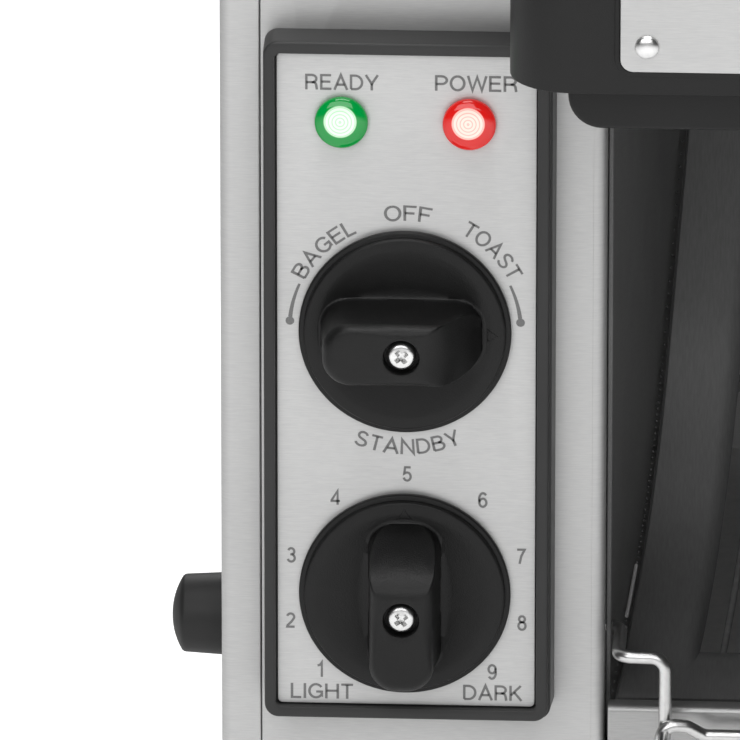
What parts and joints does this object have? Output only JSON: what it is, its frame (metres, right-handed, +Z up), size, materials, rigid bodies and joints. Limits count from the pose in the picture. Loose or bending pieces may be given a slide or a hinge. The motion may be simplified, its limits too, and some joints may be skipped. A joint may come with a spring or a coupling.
{
  "type": "conveyor toaster",
  "caption": "Countertop conveyor toaster: steel case, dial panel, hooded wire belt between heaters, toast slide to a front rack, crumb tray.",
  "frame": {"origin": "centre of the whole object's box, on the plane the feet stand on", "axes": "+Z up, +X to the right seen from the front, +Y from the front to the rear"},
  "size_m": [0.3946, 0.42, 0.398],
  "materials": {
    "brushed_steel": "brushed, fine straight grain",
    "black_coating": "fine textured powder coat",
    "dark_sheet": "dark heat-proof coat over rolled sheet",
    "chrome_wire": "bright plated wire",
    "black_plastic": "fine moulded texture",
    "grey_plastic": "satin moulding",
    "rubber": "matte",
    "bronze": "sintered bronze",
    "cast_metal": "grey cast",
    "heater_sheath": "oxidised sheath",
    "green_lens": "clear moulded lens, lit",
    "red_lens": "clear moulded lens, lit"
  },
  "bodies": {
    "case": {"base_pan": "brushed_steel", "left_side_panel": "brushed_steel", "right_side_panel": "brushed_steel", "front_panel": "brushed_steel", "top_cover": "brushed_steel", "rear_cover": "brushed_steel", "partition_wall": "brushed_steel", "front_left_foot": "rubber", "front_right_foot": "rubber", "rear_left_foot": "rubber", "rear_right_foot": "rubber", "left_bumper": "rubber", "right_bumper": "rubber", "control_bezel": "grey_plastic", "control_plate": "brushed_steel", "mode_switch": "black_plastic", "speed_control": "cast_metal", "ready_lamp": "green_lens", "power_lamp": "red_lens", "hood_shell": "black_coating", "hood_plate": "brushed_steel", "nose_guard": "black_coating", "left_chute_wall": "dark_sheet", "right_chute_wall": "dark_sheet", "toast_slide": "dark_sheet", "slide_grille": "chrome_wire", "discharge_lip": "brushed_steel", "left_conveyor_plate": "brushed_steel", "right_conveyor_plate": "brushed_steel", "wire_belt": "chrome_wire", "drive_left_bush": "bronze", "drive_right_bush": "bronze", "idler_left_bush": "bronze", "idler_right_bush": "bronze", "drive_chain": "cast_metal", "gear_motor": "cast_metal", "motor_bracket": "brushed_steel", "upper_front_heater": "heater_sheath", "upper_rear_heater": "heater_sheath", "lower_front_heater": "heater_sheath", "lower_rear_heater": "heater_sheath", "upper_reflector": "brushed_steel", "lower_reflector": "brushed_steel", "fan_housing": "black_plastic", "cord_gland": "black_plastic", "circuit_breaker": "black_plastic"},
    "mode_dial": {"mode_knob": "black_plastic", "mode_knob_screw": "chrome_wire"},
    "browning_dial": {"browning_knob": "black_plastic", "browning_knob_screw": "chrome_wire"},
    "drive_axle": {"drive_shaft": "brushed_steel", "drive_roller": "brushed_steel", "drive_sprocket": "cast_metal"},
    "idler_axle": {"idler_shaft": "brushed_steel", "idler_roller": "brushed_steel"},
    "motor_output": {"motor_sprocket": "cast_metal"},
    "fan_wheel": {"fan_rotor": "black_plastic"},
    "crumb_drawer": {"crumb_tray": "brushed_steel"},
    "catch_rack": {"toast_rack": "chrome_wire"},
    "breaker_button": {"reset_button": "red_lens"}
  },
  "joints": [
    {"name": "mode_turn", "type": "hinge", "parent": "case", "child": "mode_dial", "pos_m": [-0.1392, -0.132, 0.175], "axis": [0, 1, 0], "range_deg": [-180, 90]},
    {"name": "browning_turn", "type": "hinge", "parent": "case", "child": "browning_dial", "pos_m": [-0.1392, -0.132, 0.1083], "axis": [0, 1, 0], "range_deg": [-134, 134]},
    {"name": "drive_spin", "type": "hinge", "parent": "case", "child": "drive_axle", "pos_m": [0.035, 0.008, 0.3], "axis": [1, 0, 0], "continuous": true},
    {"name": "idler_spin", "type": "hinge", "parent": "case", "child": "idler_axle", "pos_m": [0.035, -0.124, 0.3], "axis": [1, 0, 0], "continuous": true},
    {"name": "motor_spin", "type": "hinge", "parent": "case", "child": "motor_output", "pos_m": [-0.103, 0.12, 0.215], "axis": [1, 0, 0], "continuous": true},
    {"name": "fan_spin", "type": "hinge", "parent": "case", "child": "fan_wheel", "pos_m": [-0.139, 0.1835, 0.102], "axis": [0, 1, 0], "continuous": true},
    {"name": "crumb_tray_slide", "type": "slide", "parent": "case", "child": "crumb_drawer", "axis": [0, -1, 0], "range_m": [0, 0.25]},
    {"name": "rack_fold", "type": "hinge", "parent": "case", "child": "catch_rack", "pos_m": [0.035, -0.096, 0.091], "axis": [-1, 0, 0], "range_deg": [0, 90]},
    {"name": "reset_press", "type": "slide", "parent": "case", "child": "breaker_button", "axis": [0, -1, 0], "range_m": [0, 0.002], "stiffness_N_per_m": 400}
  ],
  "couplings": [
    {"joint": "idler_spin", "follows": "drive_spin", "ratio": 1},
    {"joint": "motor_spin", "follows": "drive_spin", "ratio": 2}
  ]
}
